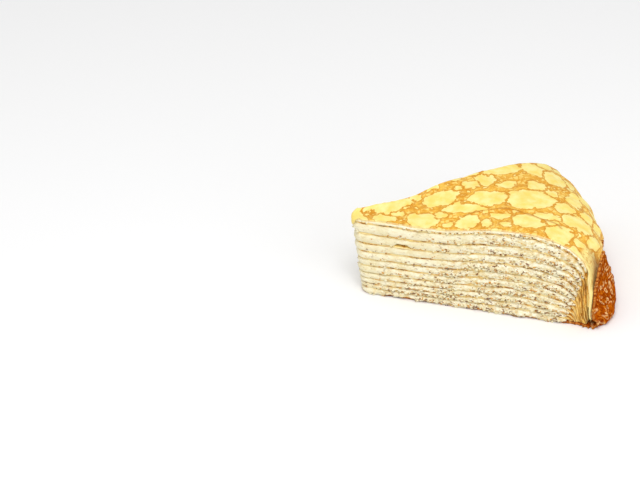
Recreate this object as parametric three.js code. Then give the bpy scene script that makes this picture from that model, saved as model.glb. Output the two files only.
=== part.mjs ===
// One slice of a layered crepe cake: twelve thin crepes with eleven layers of whipped cream
// between them, cut as an eighth of a round, domed cake.
// Every crepe lies flat over the cream, curls down over the rim and hangs there, so that the
// crepe ends lie side by side as a thin skirt. The bottom crepe, browned darkest, is larger and
// is folded up round the outside of that skirt.
// Units are millimetres, +Z is up and z = 0 is the face that the slice stands on. The cut face
// at the front lies along +X, its tip at -X and the rim at +X. The slice widens towards +Y.
import * as THREE from "three";

const { clamp, degToRad, lerp, mapLinear, smoothstep } = THREE.MathUtils;

// Driving dimensions of the slice.
const RIM_RADIUS = 96.5; // from the tip to the outside of the hanging crepes
const WEDGE = degToRad(45);
const CREPE = 0.8; // thickness of an inner crepe
const BASE_CREPE = 1.0; // thickness of the dark crepe underneath
const CREAM = [1.9, 1.9, 2.4, 2.4, 3.0, 2.8, 3.3, 3.2, 3.7, 4.1, 0.9]; // from the base up
const HANG_GAP = 0.1; // between two crepes that hang side by side
const TOP_GAP = 0.3; // and this much more between the top crepe and the next
const MIDDLE = new THREE.Vector2(51, 34); // the slice's middle in plan, from its tip

// How the layers bend over the rim: each is a quarter of a superellipse in section.
const BEND_START = 45; // radius where a layer leaves the level
const BEND_POWER = 4;
const CREAM_END = degToRad(55); // where the cream has thinned out

// Rounded tip of the wedge: the layers start at a radius, and up to another one they are drawn
// out sideways to end in an arc.
const TIP_RADIUS = 3.2;
const NOSE_REACH = 42;
const NOSE_CENTRE = new THREE.Vector2(4.8, 3.7);
const NOSE_RADIUS = 3.7;

// Heights above the base at which the outermost hanging crepes end, from the top crepe down,
// and how ragged those ends are. At the front cut the top crepe reaches lower, in a point.
const HANG_ENDS = [21.5, 9, 4.5, 2.5];
const HANG_RAGGED = 2;
const RAGGED_TURNS = 3;
const HANG_POINT = 16;
const HANG_POINT_SHARE = 0.05;
const HANG_CLEAR = 0.2; // the other crepes end this far above the base crepe

// The base crepe folded up round the rim: its upper edge as [share of the wedge, height], how
// far it stands off the skirt of hanging crepes, and how much further off at its foot. Near the
// front cut it stands upright.
const FOLD_EDGE = [
  [0, 20], [0.03, 23], [0.05, 29], [0.08, 33], [0.11, 31], [0.14, 27.5], [0.165, 23], [0.19, 16],
  [0.22, 11], [0.26, 8], [0.45, 6], [0.6, 8], [0.7, 10], [0.8, 8], [0.9, 9], [1, 6],
];
const FOLD_CLEAR = 0.3;
const FOLD_STAND = 0.5;
const FOLD_FOOT = 4.4;
const FOLD_FOOT_SHARES = [0, 0.045, 0.12, 0.28]; // it spreads out, and back in, between these
const FOLD_FOOT_HEIGHTS = [3, 16]; // and narrows between these heights
const FOLD_UPRIGHT = 96.6;
const FOLD_UPRIGHT_SHARES = [0.16, 0.3]; // it stops being upright between these shares
const FOLD_UPRIGHT_HEIGHTS = [12, 20];
const PLEATS = 5;
const PLEAT_DEPTH = 0.3;
const TURN_HEIGHT = 1.4; // where the fold's upright part begins

// Unevenness of the whole slice: it has sunk towards the tip, less at the back cut than at the
// front one, its top leans out over the tip, its layers wave, its rim swells out away from the
// front cut and is pinched in at it, and the skirt flares at its foot.
const SUNK = 0.125;
const SUNK_RADII = [20, 68];
const BACK_LESS_SUNK = 0.22;
const BACK_RISES_SOONER = 24;
const TIP_LEAN = 4;
const TIP_LEAN_REACH = 18;
const WAVE = 0.01;
const SWELL = 3.2;
const SWELL_SHARE = 0.3;
const PINCH = 1.6;
const PINCH_REACH = 4;
const PINCH_RADII = [84, 96];
const PINCH_UPS = [0.4, 0.75];
const FLARE = 3.5;
const FLARE_HEIGHT = 2.5;

// Mesh divisions.
const LAYER_SHARES = [0, 0.12, 0.3, 0.5, 0.7, 0.85, 1]; // of the wedge, from the front cut
const LEVEL_RADII = [14, 26, 36, BEND_START];
const BEND_DEGREES = [18, 29, 36, 42, 47, 52];
const HANG_SHARES = [0.6, 0.35, 0.15, 0]; // of the drop from the cream's end to the crepe's
const FOLD_SHARES = [
  0, 0.025, 0.05, 0.08, 0.11, 0.14, 0.165, 0.19, 0.22, 0.26, 0.3, 0.35, 0.4, 0.45, 0.5, 0.55, 0.6,
  0.65, 0.7, 0.75, 0.8, 0.85, 0.9, 0.95, 1,
];
const FOLD_STEPS = 5;

const LOOKS = {
  topCrepe: { color: 0xf9e694, roughness: 0.5 },
  crepe: { color: 0xe2c06c, roughness: 0.6 },
  baseCrepe: { color: 0xa85a22, roughness: 0.6 },
  cream: { color: 0xf5eed6, roughness: 0.5 },
};

// Heights of the layers' faces where the cake is tallest: face 2k is the underside of crepe k
// and face 2k + 1 its top, counted from the base crepe as k = 0.
const faceHeights = [0, BASE_CREPE];
for (const cream of CREAM) {
  const underside = faceHeights.at(-1) + cream;
  faceHeights.push(underside, underside + CREPE);
}
const CREPES = CREAM.length + 1;
const TOP_CREPE = CREPES - 1;
const TALLEST = faceHeights.at(-1);

// Radius at which a face would meet the base, so that the hanging crepes lie side by side.
function rimRadius(face) {
  const crepe = Math.floor(face / 2);
  const inside = (TOP_CREPE - crepe) * (CREPE + HANG_GAP) + (crepe < TOP_CREPE ? TOP_GAP : 0);
  const outside = RIM_RADIUS - inside;
  return face % 2 ? outside : outside - CREPE;
}

// The superellipse's point in a direction, counted from straight up, for half axes of 1.
function bend(angle) {
  const s = Math.sin(angle);
  const c = Math.cos(angle);
  const size = (s ** BEND_POWER + c ** BEND_POWER) ** (1 / BEND_POWER);
  return { out: s / size, up: c / size };
}

// How far out the superellipse is at a share of its height.
function outAt(up) {
  return (1 - Math.min(up, 1) ** BEND_POWER) ** (1 / BEND_POWER);
}

// Sideways push of the flared foot at a radius and a height above the base crepe.
function flare(radius, above) {
  return FLARE * Math.exp(-above / FLARE_HEIGHT) * Math.min(radius / RIM_RADIUS, 1) ** 10;
}

// How far the rim stands out at a radius and share, and is pinched in beside the front cut.
function swell(radius, share, up) {
  const out = SWELL * smoothstep(share, 0, SWELL_SHARE) * Math.min(radius / RIM_RADIUS, 1) ** 8;
  const beside = Math.exp((-share * WEDGE * radius) / PINCH_REACH);
  const low = 1 - smoothstep(up, ...PINCH_UPS);
  return out - PINCH * beside * low * smoothstep(radius, ...PINCH_RADII);
}

// Moves a point of the even slice, in polar coordinates round the tip, to its place in the
// uneven one. Heights up to the top of the base crepe don't change, so the base stays flat.
function place(radius, share, height, flared = true) {
  const angle = share * WEDGE;
  const above = Math.max(height - BASE_CREPE, 0);
  const up = above / (TALLEST - BASE_CREPE);
  const sunkTo = SUNK_RADII[1] - BACK_RISES_SOONER * share;
  const sunkShare = (1 - BACK_LESS_SUNK * share) * (1 - smoothstep(radius, SUNK_RADII[0], sunkTo));
  const wave = WAVE * Math.sin(radius / 13 + 1) * Math.cos(angle * 5 + 0.6);
  const z = Math.min(height, BASE_CREPE) + above * (1 - SUNK * sunkShare * (2 - up) + wave);
  const r = radius + swell(radius, share, up) + (flared ? flare(radius, above) : 0);
  const turn = -Math.PI / 2 - share * (Math.PI - WEDGE);
  const near = clamp((NOSE_REACH - radius) / (NOSE_REACH - TIP_RADIUS), 0, 1);
  const noseX = NOSE_CENTRE.x + NOSE_RADIUS * Math.cos(turn) - TIP_RADIUS * Math.cos(angle);
  const noseY = NOSE_CENTRE.y + NOSE_RADIUS * Math.sin(turn) - TIP_RADIUS * Math.sin(angle);
  const lean = TIP_LEAN * up * Math.exp(-radius / TIP_LEAN_REACH);
  return new THREE.Vector3(
    r * Math.cos(angle) + near * noseX - lean - MIDDLE.x,
    r * Math.sin(angle) + near * noseY - MIDDLE.y,
    z,
  );
}

// Rows of points on a face, from the tip to where the cream ends. The layers on both sides of
// the face use the same rows. The base crepe's level top takes its radii from the face above.
function levelRows(face) {
  const height = faceHeights[face];
  const onBase = face < 2;
  const reach = rimRadius(onBase ? 2 : face) - BEND_START;
  const rows = [];
  for (const radius of [TIP_RADIUS, ...LEVEL_RADII]) {
    rows.push((share) => place(radius, share, height));
  }
  for (const angle of [...BEND_DEGREES.map(degToRad), CREAM_END]) {
    const { out, up } = bend(angle);
    const level = onBase ? height : height * up;
    rows.push((share) => place(BEND_START + reach * out, share, level));
  }
  return rows;
}

// Height at which a hanging crepe ends, at a share of the wedge.
function hangEnd(crepe, share) {
  const fromTop = TOP_CREPE - crepe;
  if (fromTop >= HANG_ENDS.length) return BASE_CREPE + HANG_CLEAR;
  const end = HANG_ENDS[fromTop];
  const depth = Math.min(HANG_RAGGED, end / 3);
  const point = fromTop ? 0 : HANG_POINT * (1 - smoothstep(share, 0, HANG_POINT_SHARE));
  return end - point + depth * Math.cos(share * RAGGED_TURNS * 2 * Math.PI + fromTop * 2);
}

// Rows that carry a crepe's face on from the cream's end down the rim.
function hangRows(face) {
  const reach = rimRadius(face) - BEND_START;
  const crepe = Math.floor(face / 2);
  const start = faceHeights[face] * bend(CREAM_END).up;
  return HANG_SHARES.map((left) => (share) => {
    const height = lerp(hangEnd(crepe, share), start, left);
    return place(BEND_START + reach * outAt(height / faceHeights[face]), share, height);
  });
}

// Closed solid between an under and an over face, each given as rows of points from the tip
// outwards; a row is a function of the share of the wedge, and gets a point at each of the shares.
function layerSolid(underRows, overRows, shares) {
  const positions = [];
  const index = [];
  const columns = shares.length;
  const across = columns - 1;
  for (const row of [...underRows, ...overRows]) {
    for (const share of shares) positions.push(...row(share).toArray());
  }
  const last = underRows.length - 1;
  const under = (i, j) => i * columns + j;
  const over = (i, j) => (last + 1 + i) * columns + j;
  const quad = (a, b, c, d) => index.push(a, b, c, a, c, d);
  for (let i = 0; i < last; i += 1) {
    for (let j = 0; j < across; j += 1) {
      quad(over(i, j), over(i + 1, j), over(i + 1, j + 1), over(i, j + 1));
      quad(under(i, j), under(i, j + 1), under(i + 1, j + 1), under(i + 1, j));
    }
    quad(under(i, 0), under(i + 1, 0), over(i + 1, 0), over(i, 0));
    quad(under(i + 1, across), under(i, across), over(i, across), over(i + 1, across));
  }
  for (let j = 0; j < across; j += 1) {
    quad(under(0, j + 1), under(0, j), over(0, j), over(0, j + 1));
    quad(under(last, j), under(last, j + 1), over(last, j + 1), over(last, j));
  }
  const geometry = new THREE.BufferGeometry();
  geometry.setAttribute("position", new THREE.Float32BufferAttribute(positions, 3));
  geometry.setIndex(index);
  geometry.computeVertexNormals();
  return geometry;
}

// A crepe other than the base one: level over the cream, then hanging down the rim.
function crepeGeometry(crepe) {
  const face = crepe * 2;
  const under = [...levelRows(face), ...hangRows(face)];
  const over = [...levelRows(face + 1), ...hangRows(face + 1)];
  return layerSolid(under, over, LAYER_SHARES);
}

// The cream that lies on a crepe.
function creamGeometry(crepe) {
  const face = crepe * 2 + 1;
  return layerSolid(levelRows(face), levelRows(face + 1), LAYER_SHARES);
}

// Height of the folded crepe's upper edge at a share of the wedge.
function foldEdge(share) {
  const next = Math.max(1, FOLD_EDGE.findIndex(([at]) => at >= share));
  const [fromShare, fromHeight] = FOLD_EDGE[next - 1];
  const [toShare, toHeight] = FOLD_EDGE[next];
  return mapLinear(share, fromShare, toShare, fromHeight, toHeight);
}

// Inner radius of the folded crepe. It lies close to the skirt at both cut faces, and stands
// away from it in pleats between them.
function foldRadius(share, height) {
  const skirt = BEND_START + (RIM_RADIUS - BEND_START) * outAt(height / TALLEST);
  const away = smoothstep(Math.min(share, 1 - share), 0, 0.2);
  const [from, full, still, to] = FOLD_FOOT_SHARES;
  const spread = smoothstep(share, from, full) * (1 - smoothstep(share, still, to));
  const foot = spread * (1 - smoothstep(height, ...FOLD_FOOT_HEIGHTS));
  const pleat = PLEAT_DEPTH * (1 - Math.cos(share * PLEATS * 2 * Math.PI));
  const stand = Math.max(
    flare(RIM_RADIUS, height - BASE_CREPE),
    FOLD_FOOT * foot + away * (FOLD_STAND + pleat),
  );
  const close = skirt + FOLD_CLEAR + stand;
  const atFront = 1 - smoothstep(share, ...FOLD_UPRIGHT_SHARES);
  const upright = atFront * smoothstep(height, ...FOLD_UPRIGHT_HEIGHTS);
  return close + upright * Math.max(FOLD_UPRIGHT - close, 0);
}

// The base crepe: a flat sheet under the slice that turns up at the rim.
function baseCrepeGeometry() {
  const even = (radius, share, height) => place(radius, share, height, false);
  const under = [];
  const over = [];
  for (const radius of [TIP_RADIUS, 14, 30, 60, 85, 93]) {
    under.push((share) => even(radius, share, 0));
    over.push((share) => even(radius, share, BASE_CREPE));
  }
  const foot = (share) => foldRadius(share, TURN_HEIGHT);
  under.push((share) => even(foot(share), share, 0));
  over.push((share) => even(foot(share) - BASE_CREPE / 3, share, BASE_CREPE));
  for (let step = 0; step <= FOLD_STEPS; step += 1) {
    const heightAt = (share) => lerp(TURN_HEIGHT, foldEdge(share), step / FOLD_STEPS);
    const drop = step ? 0 : BASE_CREPE / 2; // the fold's outside starts lower, at the turn
    under.push((share) => {
      const height = heightAt(share);
      return even(foldRadius(share, height) + BASE_CREPE, share, height - drop);
    });
    over.push((share) => even(foldRadius(share, heightAt(share)), share, heightAt(share)));
  }
  return layerSolid(under, over, FOLD_SHARES);
}

function namedMesh(name, geometry, look) {
  const mesh = new THREE.Mesh(geometry, new THREE.MeshStandardMaterial({ metalness: 0, ...look }));
  mesh.name = name;
  return mesh;
}

function numbered(word, place) {
  return `${word}_${String(place).padStart(2, "0")}`;
}

const slice = new THREE.Group();
slice.name = "crepe_cake_slice";
slice.add(namedMesh(`${numbered("crepe", 1)}_base`, baseCrepeGeometry(), LOOKS.baseCrepe));
for (let crepe = 1; crepe < TOP_CREPE; crepe += 1) {
  slice.add(namedMesh(numbered("crepe", crepe + 1), crepeGeometry(crepe), LOOKS.crepe));
}
slice.add(namedMesh(`${numbered("crepe", CREPES)}_top`, crepeGeometry(TOP_CREPE), LOOKS.topCrepe));
for (let crepe = 0; crepe < TOP_CREPE; crepe += 1) {
  slice.add(namedMesh(numbered("cream", crepe + 1), creamGeometry(crepe), LOOKS.cream));
}

export default slice;
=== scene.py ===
"""One slice of a layered crepe cake on a pale floor.

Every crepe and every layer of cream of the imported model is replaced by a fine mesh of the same
layer. The slice's lengths are in millimetres and become metres when a mesh is made. The floor,
the lights and the camera are in metres.
"""

import itertools
import math

import bpy
import numpy as np
from mathutils import Matrix, Vector


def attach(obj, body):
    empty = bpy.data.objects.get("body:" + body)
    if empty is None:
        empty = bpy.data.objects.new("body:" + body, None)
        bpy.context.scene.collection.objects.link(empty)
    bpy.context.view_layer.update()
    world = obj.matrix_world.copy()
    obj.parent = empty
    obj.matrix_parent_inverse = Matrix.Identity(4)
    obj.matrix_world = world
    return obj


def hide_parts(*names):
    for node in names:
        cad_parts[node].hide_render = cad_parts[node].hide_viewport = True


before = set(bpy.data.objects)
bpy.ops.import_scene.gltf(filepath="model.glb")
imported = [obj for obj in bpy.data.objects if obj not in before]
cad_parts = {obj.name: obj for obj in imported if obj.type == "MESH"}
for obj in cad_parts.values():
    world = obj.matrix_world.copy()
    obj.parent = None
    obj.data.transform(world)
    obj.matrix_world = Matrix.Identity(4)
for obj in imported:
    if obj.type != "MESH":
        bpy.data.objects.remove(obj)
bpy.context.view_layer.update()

MM = 0.001

# -------- the slice, as in the CAD

RIM_RADIUS = 96.5  # from the tip to the outside of the hanging crepes
WEDGE = math.radians(45)
CREPE = 0.8  # thickness
BASE_CREPE = 1.0
CREAM = [1.9, 1.9, 2.4, 2.4, 3.0, 2.8, 3.3, 3.2, 3.7, 4.1, 0.9]  # from the base up
HANG_GAP = 0.1  # between two crepes that hang side by side
TOP_GAP = 0.3  # and this much more under the top crepe
MIDDLE = (51, 34)  # the slice's middle in plan, from its tip

BEND_START = 45  # radius where a layer leaves the level
BEND_POWER = 4
CREAM_END = math.radians(55)  # where the cream has thinned out

TIP_RADIUS = 3.2
NOSE_CENTRE = (4.8, 3.7)
NOSE_RADIUS = 3.7
NOSE_REACH = 42
TIP_LEAN = 4
TIP_LEAN_REACH = 18

# Heights at which the hanging crepes end, from the top crepe inwards.
HANG_ENDS = [21.5, 9, 4.5, 2.5]
HANG_RAGGED = 2
RAGGED_TURNS = 3
HANG_POINT = 16  # how much lower the top crepe hangs at the front cut
HANG_CLEAR = 0.2  # the other crepes end this far above the base crepe

# Edge of the base crepe's folded part: share of the wedge, and height.
FOLD_EDGE = [(0, 20), (0.03, 23), (0.05, 29), (0.08, 33), (0.11, 31), (0.14, 27.5), (0.165, 23),
             (0.19, 16), (0.22, 11), (0.26, 8), (0.45, 6), (0.6, 8), (0.7, 10), (0.8, 8), (0.9, 9),
             (1, 6)]
FOLD_CLEAR = 0.3  # between it and the skirt
FOLD_STAND = 0.5  # and this much more away from the cut faces
FOLD_FOOT = 4.4
FOLD_FOOT_SHARES = (0, 0.045, 0.12, 0.28)  # it spreads out, and back in, between these
FOLD_FOOT_HEIGHTS = (3, 16)  # and narrows between these heights
FOLD_UPRIGHT = 96.6
FOLD_UPRIGHT_SHARES = (0.3, 0.16)  # it becomes upright between these shares
FOLD_UPRIGHT_HEIGHTS = (12, 20)
SNUG_SHARE = 0.2  # the fold closes up to the skirt this near to a cut
PLEATS = 5
PLEAT_DEPTH = 0.3

SUNK = 0.125  # share of the height lost towards the tip
SUNK_RADII = (20, 68)
BACK_LESS_SUNK = 0.22
BACK_RISES_SOONER = 24
WAVE = 0.01
SWELL = 3.2
SWELL_SHARE = 0.3
PINCH = 1.6
PINCH_REACH = 4
PINCH_RADII = (84, 96)
PINCH_UPS = (0.75, 0.4)
FLARE = 3.5
FLARE_HEIGHT = 2.5

# -------- the slice, beyond the CAD

# The top crepe's point is longer and wider than in the CAD, to come closer to the photo.
FLAP_LOWER = 2.5
FLAP_TAPER_SHARE = 0.1
FLAP_TAPER_POWER = 0.9

RIM_LENGTH = 75  # about the way round the rim, from cut to cut
RIPPLE_RADII = (76, 97)
RIPPLES = ((0.45, 31, 0.8), (0.3, 57, 2))  # of the rim: height, pace and start of each wave
CORNER_REACH = 2.5
CORNER_RADII = (90, 95)
CORNER_UPS = (0.85, 0.5)
SETTLED_HEIGHT = 3  # above which the layers are as uneven as they get

# Depth, size across and seed of each random field.
SETTLED = ((0.3, (13, 13, 7), 11), (0.16, (5, 5, 4), 12))
HANG_TORN = ((1.1, 4.5, 21), (0.6, 1.4, 22))

CREPES = len(CREAM) + 1
TOP_CREPE = CREPES - 1

face_heights = [0, BASE_CREPE]
for cream in CREAM:
    face_heights += [face_heights[-1] + cream, face_heights[-1] + cream + CREPE]
TALLEST = face_heights[-1]

# -------- random fields


def hashed(cells, seed):
    """A random number from 0 to 1 for each whole-number cell, the same on every run."""
    mask = 0xFFFFFFFF
    mixed = (cells[..., 0] * 73856093) ^ (cells[..., 1] * 19349663) ^ (cells[..., 2] * 83492791)
    mixed = (mixed ^ (seed * 2654435761)) & mask
    for shift, factor in ((16, 0x7FEB352D), (15, 0x846CA68B)):
        mixed = ((mixed ^ (mixed >> shift)) * factor) & mask
    return (mixed ^ (mixed >> 16)) / mask


def bumps(points, size, seed):
    """A smooth random field from -1 to 1, with bumps about size across (a number or x, y, z)."""
    place_in_cells = points / np.asarray(size, float)
    cells = np.floor(place_in_cells).astype(np.int64)
    part = place_in_cells - cells
    part = part * part * (3 - 2 * part)
    total = np.zeros(points.shape[:-1])
    for corner in np.ndindex(2, 2, 2):
        weight = np.prod(np.where(corner, part, 1 - part), axis=-1)
        total += weight * hashed(cells + np.array(corner), seed)
    return 2 * total - 1


def rough(points, fields, start=0):
    """The sum of several bumps, each given as depth, size across and seed."""
    return sum((depth * bumps(points, size, seed) for depth, size, seed in fields), start)


def dents(points, spacing, size, share, seed):
    """1 in the middle of scattered round dents, 0 outside; share is how many cells have one."""
    cells = np.floor(points / spacing).astype(np.int64)
    deepest = np.zeros(points.shape[:-1])
    for offset in np.ndindex(3, 3, 3):
        near = cells + np.array(offset) - 1
        centre = np.stack([hashed(near, seed + axis) for axis in range(3)], axis=-1)
        away = np.linalg.norm(points - (near + centre) * spacing, axis=-1)
        radius = size * (0.5 + hashed(near, seed + 3))
        there = hashed(near, seed + 4) < share
        deepest = np.maximum(deepest, there * np.clip(1 - (away / radius) ** 2, 0, 1))
    return deepest


def smoothstep(value, low, high):
    """From 0 at low to 1 at high; low may be the larger number."""
    share = np.clip((value - low) / (high - low), 0, 1)
    return share * share * (3 - 2 * share)


def bell(value, centre, width):
    """1 at the centre, fading to 0 on both sides."""
    return np.exp(-(((value - centre) / width) ** 2))


# -------- the layers' faces

CUT_SPACING = 0.5  # between points along a cut face


def rim_radius(face):
    """Radius at which a face hangs; faces are numbered from the floor up, two to a crepe."""
    from_top = TOP_CREPE - face // 2
    outside = RIM_RADIUS - from_top * (CREPE + HANG_GAP) - TOP_GAP * (from_top > 0)
    return outside if face % 2 else outside - CREPE


def out_at(up):
    return (1 - np.minimum(up, 1) ** BEND_POWER) ** (1 / BEND_POWER)


def bend(angle):
    """How far out and up the bend is, from 0 to 1, at an angle from the upright."""
    s, c = np.sin(angle), np.cos(angle)
    size = (s**BEND_POWER + c**BEND_POWER) ** (1 / BEND_POWER)
    return s / size, c / size


def flare(radius, above):
    """How far the foot of the skirt spreads outwards."""
    return FLARE * np.exp(-above / FLARE_HEIGHT) * np.minimum(radius / RIM_RADIUS, 1) ** 10


def nose_turn(share):
    """Direction in which the rounded tip faces, from the front cut round to the back one."""
    return -math.pi / 2 - share * (math.pi - WEDGE)


def nose(share):
    """Points of the rounded tip in plan."""
    turn = nose_turn(share)
    return NOSE_CENTRE[0] + NOSE_RADIUS * np.cos(turn), NOSE_CENTRE[1] + NOSE_RADIUS * np.sin(turn)


def sunk_height(radius, share, height, above, up):
    """Height after the cake has sunk towards the tip, with a slight wave across it."""
    sunk_to = SUNK_RADII[1] - BACK_RISES_SOONER * share
    sunk = SUNK * (1 - BACK_LESS_SUNK * share) * (1 - smoothstep(radius, SUNK_RADII[0], sunk_to))
    wave = WAVE * np.sin(radius / 13 + 1) * np.cos(share * WEDGE * 5 + 0.6)
    return np.minimum(height, BASE_CREPE) + above * (1 - sunk * (2 - up) + wave)


def loose_radius(radius, share, above, up, flared):
    """Radius after rim and foot have spread and rippled, and the skirt's front has drawn in."""
    ripple = sum(high * np.sin(share * pace + start) for high, pace, start in RIPPLES)
    r = radius + flare(radius, above) * flared + smoothstep(radius, *RIPPLE_RADII) * ripple
    r = r + SWELL * smoothstep(share, 0, SWELL_SHARE) * np.minimum(radius / RIM_RADIUS, 1) ** 8
    beside = np.exp(-share * WEDGE * radius / PINCH_REACH) * smoothstep(up, *PINCH_UPS)
    return r - PINCH * beside * smoothstep(radius, *PINCH_RADII)


def corner(radius, share, height, up):
    """How far the front corners of the hanging crepes stand out of the cut."""
    beside = np.exp(-share * WEDGE * radius / CORNER_REACH) * smoothstep(radius, *CORNER_RADII)
    return beside * (1 + 0.8 * np.sin(radius * 3.1 + height * 0.2)) * smoothstep(up, *CORNER_UPS)


def place(radius, share, height, flared=True):
    """Points of the uneven slice, from radius, share of the wedge and height of the even one."""
    radius, share, height = np.broadcast_arrays(radius, share, height)
    angle = share * WEDGE
    above = np.maximum(height - BASE_CREPE, 0)
    up = above / (TALLEST - BASE_CREPE)
    r = loose_radius(radius, share, above, up, flared)
    near = np.clip((NOSE_REACH - radius) / (NOSE_REACH - TIP_RADIUS), 0, 1)
    nose_x, nose_y = nose(share)
    x = r * np.cos(angle) + near * (nose_x - TIP_RADIUS * np.cos(angle))
    y = r * np.sin(angle) + near * (nose_y - TIP_RADIUS * np.sin(angle))
    x = x - TIP_LEAN * up * np.exp(-radius / TIP_LEAN_REACH)
    y = y - corner(radius, share, height, up)
    points = np.stack([x, y, sunk_height(radius, share, height, above, up)], axis=-1)
    points[..., 2] += rough(points, SETTLED) * np.clip(above / SETTLED_HEIGHT, 0, 1)
    return points - np.array([*MIDDLE, 0])


def bend_rows(face, count):
    """Radii and heights down the bend to the cream's end, evenly spaced along it."""
    out, up = bend(np.linspace(0, CREAM_END, 400))
    radii = BEND_START + (rim_radius(max(face, 2)) - BEND_START) * out
    heights = face_heights[face] * (up if face >= 2 else np.ones_like(up))
    length = np.concatenate([[0], np.cumsum(np.hypot(np.diff(radii), np.diff(heights)))])
    at = np.linspace(0, length[-1], count + 1)[1:]
    return np.interp(at, length, radii), np.interp(at, length, heights)


def hang_end(crepe, share):
    """Height at which a hanging crepe ends: ragged, and on the top one with a point in front."""
    from_top = TOP_CREPE - crepe
    if from_top >= len(HANG_ENDS):
        return np.full_like(share, BASE_CREPE + HANG_CLEAR)
    end = HANG_ENDS[from_top]
    depth = min(HANG_RAGGED, end / 3)
    wide = np.cos(share * RAGGED_TURNS * 2 * math.pi + from_top * 2)
    line = np.stack([share * RIM_LENGTH, np.full_like(share, from_top * 9.0), share * 0], axis=-1)
    taper = np.clip(1 - share / FLAP_TAPER_SHARE, 0, 1) ** FLAP_TAPER_POWER
    point = (HANG_POINT + FLAP_LOWER) * taper * (from_top == 0)
    return end - point + depth * (wide + 0.7 * rough(line, HANG_TORN))


def face_grid(face, shares, bend_length, hangs=True):
    """Radii, shares and heights of a face's points: rows from tip to rim, columns across."""
    level = np.linspace(TIP_RADIUS, BEND_START, int(BEND_START / CUT_SPACING))
    radii = [np.full_like(shares, radius) for radius in level]
    heights = [np.full_like(shares, face_heights[face])] * len(level)
    for radius, height in zip(*bend_rows(face, int(bend_length / CUT_SPACING))):
        radii.append(np.full_like(shares, radius))
        heights.append(np.full_like(shares, height))
    if hangs:
        tall = face_heights[face]
        start = bend(CREAM_END)[1]
        end = hang_end(face // 2, shares) / tall
        steps = max(4, int(face_heights[face | 1] * start / CUT_SPACING))
        for t in np.linspace(0, 1, steps + 1)[1:]:
            up = start + (end - start) * t
            radii.append(BEND_START + (rim_radius(face) - BEND_START) * out_at(up))
            heights.append(tall * up)
    radii, heights = np.array(radii), np.array(heights)
    return radii, np.broadcast_to(shares, radii.shape), heights


def fold_edge(share):
    at, heights = zip(*FOLD_EDGE)
    return np.interp(share, at, heights)


def fold_radius(share, height):
    """Inner radius of the base crepe's upright part."""
    skirt = BEND_START + (RIM_RADIUS - BEND_START) * out_at(height / TALLEST)
    away = smoothstep(np.minimum(share, 1 - share), 0, SNUG_SHARE)
    foot = smoothstep(share, *FOLD_FOOT_SHARES[:2])
    foot = foot * (1 - smoothstep(share, *FOLD_FOOT_SHARES[2:]))
    foot = foot * (1 - smoothstep(height, *FOLD_FOOT_HEIGHTS))
    pleat = PLEAT_DEPTH * (1 - np.cos(share * PLEATS * 2 * math.pi))
    swept = FLARE * np.exp(-(height - BASE_CREPE) / FLARE_HEIGHT)
    close = skirt + FOLD_CLEAR + np.maximum(swept, FOLD_FOOT * foot + away * (FOLD_STAND + pleat))
    upright = smoothstep(share, *FOLD_UPRIGHT_SHARES) * smoothstep(height, *FOLD_UPRIGHT_HEIGHTS)
    return close + upright * np.maximum(FOLD_UPRIGHT - close, 0)


# -------- meshes of layers


def perimeter(rows, columns):
    """Grid places round a grid's edge: front cut, rim, back cut, tip."""
    front = [(i, 0) for i in range(rows)]
    rim = [(rows - 1, j) for j in range(1, columns)]
    back = [(i, columns - 1) for i in range(rows - 2, -1, -1)]
    tip = [(0, j) for j in range(columns - 2, 0, -1)]
    return np.array(front + rim + back + tip)


def unit(vectors):
    return vectors / np.maximum(np.linalg.norm(vectors, axis=-1, keepdims=True), 1e-9)


def grid_quads(grid):
    corners = grid[:-1, :-1], grid[1:, :-1], grid[1:, 1:], grid[:-1, 1:]
    return np.stack(corners, -1).reshape(-1, 4)


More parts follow.
